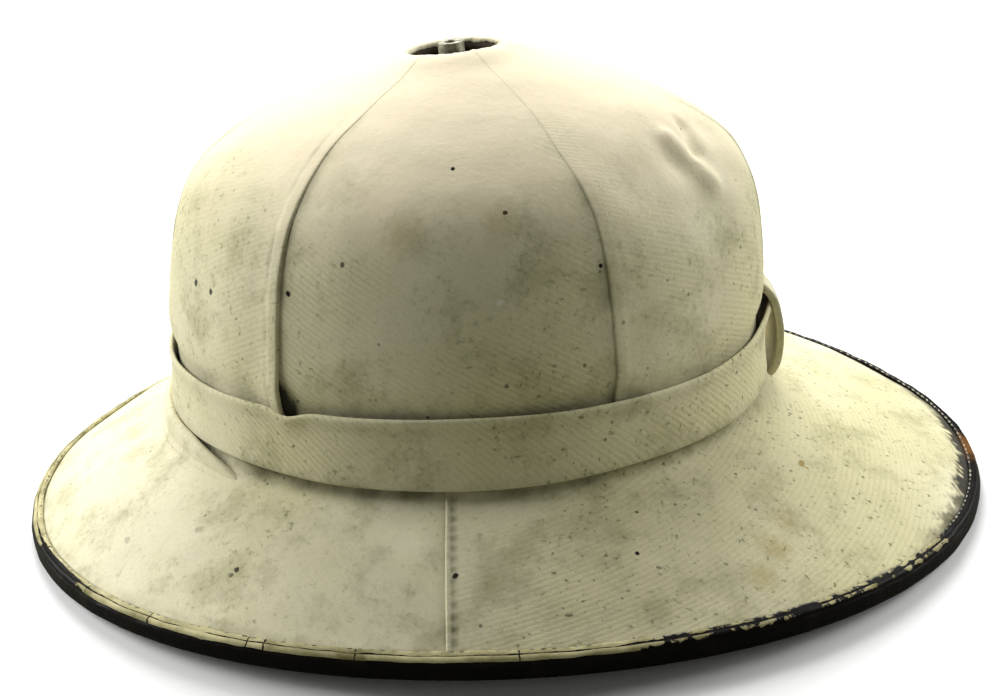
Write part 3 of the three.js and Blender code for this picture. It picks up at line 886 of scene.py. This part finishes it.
class HELMET_OT_hatband(bpy.types.Operator):
    """Wrap the folded cloth band round the foot of the crown"""
    bl_idname = "helmet.hatband"
    bl_label = "Hatband"

    def execute(self, context):
        angle = np.radians(np.linspace(0, 360, 481))
        notch = bump(np.degrees(angle) - 241.5, 3.2)
        sag = bump(np.degrees(angle) - 250, 14)
        top = BAND_TOP + BAND_RISE * np.sin(angle) ** 4 - 1.9 * notch + 0.3 * np.sin(3 * angle + 1)
        gathered = bump((np.degrees(angle) + 180) % 360 - 180, 9)
        top = top + 2.6 * gathered
        bottom = BAND_BOTTOM + 0.35 * np.sin(2 * angle + 0.6) + 0.25 * np.sin(5 * angle)
        slack = 0.35 + 0.25 * np.sin(4 * angle + 2) + 0.9 * notch + 3.0 * gathered
        rows = []
        for out, share, step in BAND_SECTION + BAND_SECTION[:1]:
            height = top + (bottom - top) * share + step
            upper = np.clip(1 - share * 3, 0, 1)
            lower = np.clip(share * 3 - 2, 0, 1)
            loose = slack * upper + 0.3 * lower * (1 + np.sin(3 * angle))
            rows.append(beside_crown(angle, height, out + loose))
        points = np.array(rows)
        _, normal, _ = directions(angle, FOOT - 0.5)
        wave = ripple(points, 41, 18, 60, 0.2) + 0.25 * np.sin(points[..., 2] * 0.9 + 3 * angle) * sag
        wave[:, -1] = wave[:, 0]
        points += normal[None] * wave[..., None]
        points[-1] = points[0]
        points[:, -1] = points[:, 0]
        outs, depth, _ = np.array(BAND_SECTION + BAND_SECTION[:1]).T[:, :, None]
        # Painted shade where the band turns in against the crown at its top and foot, and a little along its
        # foot and the fold near its top.
        soil = np.where(outs < 1.0, 0.75, 0.0) + 0.22 * bump(depth - 1.0, 0.16)
        soil = np.clip(soil + 0.12 * bump(depth - 0.15, 0.1), 0, 1)
        weave = map_of(points, math.radians(-38))
        piece = cloth_grid("hatband_fold", points[::-1], weave[::-1], soil=soil[::-1], ribbed=0.7)
        close_ring(piece)
        modify(piece, "SUBSURF", levels=1, render_levels=1)
        finish_piece(piece, drill(context), "folded_drill", "hatband")
        return {"FINISHED"}


class HELMET_OT_keeper(bpy.types.Operator):
    """Make the loop of cloth that holds the hatband at the rear"""
    bl_idname = "helmet.keeper"
    bl_label = "Rear keeper"

    def execute(self, context):
        sizes, _ = settings_of(context)
        path = np.array([
            # out   height
            (1.7, 74.6), (3.2, 73.8), (5.0, 72.1), (7.0, 69.0), (8.8, 64.4), (9.5, 58.6), (9.4, 52.0),
            (8.7, 47.0), (7.6, 43.0), (6.1, 40.2), (4.4, 38.4),
        ])
        half = sizes.keeper_width / 2 / MM
        fine = catmull(path, np.linspace(0, len(path) - 1, 60))
        across = np.linspace(-1, 1, 25)
        rows = []
        for out, height in fine:
            width = half * (1 + 0.05 * math.sin(height * 0.35))
            angle = across * width / CROWN_RADIUS
            bow = 0.5 * across**2 - 0.35 * np.exp(-((1 - np.abs(across)) / 0.10) ** 2)
            rows.append(beside_crown(angle, height, out - bow))
        points = np.array(rows)
        points += (ripple(points, 51, 8, 24, 0.12))[..., None] * np.array([1.0, 0.0, 0.4])
        edge = np.exp(-((1 - np.abs(across)) / 0.12) ** 2)
        soil = 0.25 * edge[None] + 0.45 * np.exp(-np.arange(len(fine)) / 3.0)[:, None]
        weave = map_of(points, 0.6)
        soil = np.clip(soil, 0, 1)
        piece = cloth_grid("rear_keeper_loop", points[::-1], weave[::-1], soil=soil[::-1], ribbed=0.5)
        modify(piece, "SOLIDIFY", thickness=0.0026, offset=-1)
        modify(piece, "SUBSURF", levels=1, render_levels=1)
        finish_piece(piece, drill(context), "folded_drill", "rear_keeper")
        return {"FINISHED"}


# The binding's section: distance out from the body's edge, height above that edge or above the ground, which
# of the two it is, and how well the paint holds there.
BINDING_SECTION = (
    (-2.15, 1.35, "edge", 0.2), (-2.35, 1.9, "edge", 1), (-2.1, 2.35, "edge", 1), (-1.5, 2.5, "edge", 1),
    (-0.8, 2.4, "edge", 1), (-0.35, 1.95, "edge", 0.3), (0.1, 2.05, "edge", 1), (0.75, 1.55, "edge", 1),
    (1.1, 0.95, "edge", 0.8), (1.05, 0.6, "edge", 0.35), (1.35, 0.3, "edge", 0), (1.7, -0.4, "edge", 0),
    (1.9, -1.4, "edge", 0), (1.95, 2.8, "ground", 0), (1.85, 1.6, "ground", 0), (1.55, 0.7, "ground", 0),
    (1.0, 0.15, "ground", 0), (0.4, 0.0, "ground", 0), (-1.2, 0.0, "ground", 0), (-2.8, 0.0, "ground", 0),
    (-4.4, 0.0, "ground", 0), (-5.0, 0.35, "ground", 0), (-5.3, 1.2, "ground", 0), (-5.2, 2.0, "ground", 0),
    (-4.6, 2.8, "ground", 0), (-3.0, -0.6, "edge", 0),
)
EDGE_LENGTH = 169.5  # half the body's length at its edge


class HELMET_OT_binding(bpy.types.Operator):
    """Fold the leather binding over the edge of the brim"""
    bl_idname = "helmet.binding"
    bl_label = "Rim binding"

    def execute(self, context):
        _, colours = settings_of(context)
        angle = np.radians(np.linspace(0, 360, 901))
        edge = surface(angle, EDGE)
        down, _, _ = directions(angle, EDGE)
        down[:, 2] = 0
        outward = unit(down)
        floor = math.sin(REST_ARC) ** 2
        drawn = np.arctan2(edge[:, 1] / STATIONS[EDGE, 1], edge[:, 0] / EDGE_LENGTH)
        ground = SIDE_LIFT * np.maximum(0, np.sin(drawn) ** 2 - floor) / (1 - floor)
        rows, bead = [], []
        for out, height, base, on_bead in BINDING_SECTION + BINDING_SECTION[:1]:
            lump = ripple(edge + height, 61, 5, 22, 0.10) if base == "edge" or height > 0.5 else 0 * angle
            row = edge + outward * (out + lump)[:, None]
            row[:, 2] = (edge[:, 2] if base == "edge" else ground) + height
            if base == "edge":
                row[:, 2] += ripple(edge + 3 * height, 67, 6, 18, 0.10)
            rows.append(row)
            bead.append(np.full(angle.shape, on_bead))
        points = np.array(rows)
        points[-1] = points[0]
        points[:, -1] = points[:, 0]
        x, y = edge[:, 0], edge[:, 1]
        near_side = np.interp(x, [15, 50, 140, 152], [1.0, 0.5, 0.45, 0.0])
        paint = np.where(y < 0, near_side, np.clip((60 - x) / 60, 0, 1))
        flaked = bump(np.hypot(x + 146, y + 70), 24)
        weave = np.stack(np.broadcast_arrays(lengths(edge)[None], lengths(points[:, 0])[:, None]), -1)
        bead = np.array(bead)
        bead[4:9] *= 1 - 0.9 * flaked
        values = {"bead": bead[::-1], "paint": paint[None]}
        piece = cloth_grid("rim_binding_leather", points[::-1], weave[::-1], **values)
        close_ring(piece)
        finish_piece(piece, bound_leather(colours), "leather", "rim_binding")
        return {"FINISHED"}


STITCH = (1.15, 0.36, 0.30)  # half the length, width and height of one stitch
INSET = 1.75  # how far the stitches lie in from the body's edge


class HELMET_OT_stitches(bpy.types.Operator):
    """Sew the binding down with one row of stitches along its inner edge"""
    bl_idname = "helmet.stitches"
    bl_label = "Binding stitches"

    def execute(self, context):
        sizes, colours = settings_of(context)
        fine = np.radians(np.linspace(-100, 260, 4000))
        edge = surface(fine, EDGE)
        length = lengths(edge)
        pitch = sizes.stitch / MM
        deselect()
        bpy.ops.mesh.primitive_uv_sphere_add(segments=8, ring_count=6, radius=1)
        pattern = context.object
        shape = np.array([v.co for v in pattern.data.vertices]) * STITCH
        faces = [tuple(p.vertices) for p in pattern.data.polygons]
        bpy.data.objects.remove(pattern)
        rng = np.random.default_rng(71)
        vertices, polygons = [], []
        for place in np.arange(0, length[-1], pitch):
            angle = np.interp(place + rng.normal(0, 0.15), length, fine)
            down, _, _ = directions(angle, EDGE)
            outward = unit(down * (1, 1, 0))
            along = np.array([-outward[1], outward[0], 0.0])
            turn = rng.normal(0, 0.10)
            along = along * math.cos(turn) + outward * math.sin(turn)
            side = np.cross((0, 0, 1), along)
            sink = 0.12 + abs(rng.normal(0, 0.08))
            centre = surface(angle, EDGE) - outward * INSET + np.array((0, 0, 2.5 - sink))
            start = len(vertices)
            for a, b, c in shape:
                vertices.append((centre + along * a + side * b + np.array((0, 0, c - 0.10 * a * a))) * MM)
            polygons.extend(tuple(start + i for i in face) for face in faces)
        mesh = bpy.data.meshes.new("rim_stitches")
        mesh.from_pydata([tuple(v) for v in vertices], [], polygons)
        piece = bpy.data.objects.new("rim_stitches", mesh)
        context.collection.objects.link(piece)
        finish_piece(piece, waxed_thread(colours), "cotton_drill")
        return {"FINISHED"}


class HELMET_OT_socket(bpy.types.Operator):
    """Turn the boss, its ring and arms in the vent"""
    bl_idname = "helmet.socket"
    bl_label = "Vent socket"

    def execute(self, context):
        _, colours = settings_of(context)
        activate(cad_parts["vent_socket"])
        bpy.ops.object.duplicate()
        piece = context.object
        piece.name = piece.data.name = "vent_socket_zinc"
        edit(piece, lambda: bpy.ops.mesh.remove_doubles(threshold=0.00001))
        edit(piece, lambda: bpy.ops.mesh.dissolve_limited(angle_limit=math.radians(2)))
        modify(piece, "BEVEL", width=0.0003, segments=2, limit_method="ANGLE", angle_limit=math.radians(40))
        finish_piece(piece, dull_zinc(colours), "zinc", "vent_socket")
        activate(piece)
        bpy.ops.object.shade_smooth_by_angle(angle=math.radians(35))
        deselect()
        return {"FINISHED"}


# Soft boxes: name, place, size, power. Each one looks at the helmet.
LIGHTS = (
    ("Light overhead", (-0.05, 1.0, 1.08), 1.1, 32.0),
    ("Light left", (-1.08, 0.18, 0.60), 0.8, 17.0),
    ("Light right", (1.05, 0.26, 0.58), 0.8, 11.5),
    ("Light front", (0.1, -1.4, 0.75), 1.2, 1.9),
)


class HELMET_OT_stage(bpy.types.Operator):
    """Set the floor, the lights and the camera"""
    bl_idname = "helmet.stage"
    bl_label = "Stage"

    def execute(self, context):
        scene = context.scene
        deselect()
        bpy.ops.mesh.primitive_plane_add(size=2.5, location=(0, 0, 0))
        floor = context.object
        floor.name = "floor"
        material, tree, shader = new_material("Paper backdrop, matt white")
        # White to the eye, but grey in the light it throws back, as in a room that isn't white.
        seen = tree.nodes.new("ShaderNodeLightPath").outputs["Is Camera Ray"]
        tree.links.new(mixed(tree, seen, "#787868", "#FAFAFA"), shader.inputs["Base Color"])
        shader.inputs["Roughness"].default_value = 0.9
        floor.data.materials.append(material)
        for name, place, size, power in LIGHTS:
            bpy.ops.object.light_add(type="AREA", location=place)
            light = context.object
            light.name = name
            light.data.shape = "SQUARE"
            light.data.size = size
            light.data.energy = power
            light.rotation_euler = (Vector((0, 0, 0.08)) - Vector(place)).to_track_quat("-Z", "Y").to_euler()
        world = bpy.data.worlds.new("White room")
        scene.world = world
        world.use_nodes = True
        tree = world.node_tree
        tree.nodes.clear()
        seen = add(tree, "ShaderNodeBackground", {"Color": (1, 1, 1, 1), "Strength": 1.0})
        felt = add(tree, "ShaderNodeBackground", {"Color": linear("#F2F8D0"), "Strength": 0.05})
        camera_ray = tree.nodes.new("ShaderNodeLightPath").outputs["Is Camera Ray"]
        mix = add(tree, "ShaderNodeMixShader", i0=camera_ray, i1=felt.outputs[0], i2=seen.outputs[0])
        add(tree, "ShaderNodeOutputWorld", Surface=mix.outputs[0])
        bpy.ops.object.camera_add()
        camera = context.object
        camera.name = "camera"
        camera.data.sensor_width = 36.0
        camera.data.lens = 52.1
        camera.data.clip_start = 0.01
        right = Vector((0.999, -0.0082, -0.0431)).normalized()
        back = Vector((0.0094, -0.9194, 0.3933)).normalized()
        up = back.cross(right).normalized()
        turned = Matrix((right, up, back)).transposed().to_4x4()
        camera.matrix_world = Matrix.Translation((0.0055, -0.4789, 0.2539)) @ turned
        scene.camera = camera
        scene.view_settings.view_transform = "Standard"
        return {"FINISHED"}


OPERATORS = (
    HELMET_OT_shell, HELMET_OT_gores, HELMET_OT_brim, HELMET_OT_collar, HELMET_OT_hatband, HELMET_OT_keeper,
    HELMET_OT_binding, HELMET_OT_stitches, HELMET_OT_socket, HELMET_OT_stage,
)


class HELMET_PT_panel(bpy.types.Panel):
    """Builds the helmet and sets its sizes and colours"""
    bl_idname = "HELMET_PT_panel"
    bl_label = "Pith helmet"
    bl_space_type = "VIEW_3D"
    bl_region_type = "UI"
    bl_category = "Helmet"

    def draw(self, context):
        for group in (context.scene.helmet_sizes, context.scene.helmet_colours):
            box = self.layout.box()
            for key in group.bl_rna.properties.keys():
                if key not in {"rna_type", "name"}:
                    box.prop(group, key)
        for operator in OPERATORS:
            self.layout.operator(operator.bl_idname)


CLASSES = (HelmetSizes, HelmetColours) + OPERATORS + (HELMET_PT_panel,)


def register():
    for item in CLASSES:
        bpy.utils.register_class(item)
    bpy.types.Scene.helmet_sizes = bpy.props.PointerProperty(type=HelmetSizes)
    bpy.types.Scene.helmet_colours = bpy.props.PointerProperty(type=HelmetColours)


def unregister():
    del bpy.types.Scene.helmet_sizes
    del bpy.types.Scene.helmet_colours
    for item in reversed(CLASSES):
        bpy.utils.unregister_class(item)


def main():
    register()
    for operator in OPERATORS:
        group, action = operator.bl_idname.split(".")
        getattr(getattr(bpy.ops, group), action)()


if __name__ == "__main__":
    main()
